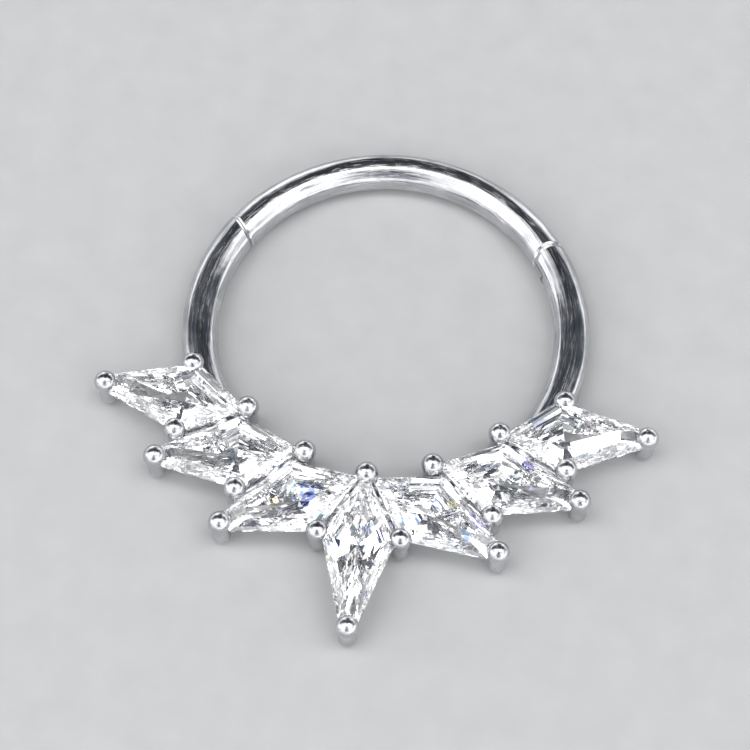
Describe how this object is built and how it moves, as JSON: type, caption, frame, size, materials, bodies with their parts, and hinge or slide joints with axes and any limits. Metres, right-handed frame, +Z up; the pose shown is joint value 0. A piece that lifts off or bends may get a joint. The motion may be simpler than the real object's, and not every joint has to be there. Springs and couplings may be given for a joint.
{
  "type": "clicker ring",
  "caption": "Round wire ring with a hinged segment that swings open and a fan of kite-cut clear stones held by beaded prongs.",
  "frame": {"origin": "centre of the part's box, on the surface that it lies on", "axes": "+Z up out of the stones' tables with the ring lying flat on its back, +Y toward the hinged segment's side of the ring, -Y toward the tip of the centre stone, hinge on the +X side"},
  "size_m": [0.0182, 0.0176, 0.0016],
  "materials": {
    "steel": "polished, with fine hairline scratches",
    "pin_steel": "plain turned",
    "clear_stone": "clear, cut and polished"
  },
  "bodies": {
    "ring_body": {"shank": "steel", "hinge_pin": "pin_steel", "kite_stone_1": "clear_stone", "kite_stone_2": "clear_stone", "kite_stone_3": "clear_stone", "kite_stone_4": "clear_stone", "kite_stone_5": "clear_stone", "kite_stone_6": "clear_stone", "kite_stone_7": "clear_stone"},
    "segment": {"hinged_segment": "steel"}
  },
  "joints": [
    {"name": "segment_hinge", "type": "hinge", "parent": "ring_body", "child": "segment", "pos_m": [0.00545, 0.00493, 0.0006], "axis": [0, 0, -1], "range_deg": [0, 80]}
  ]
}
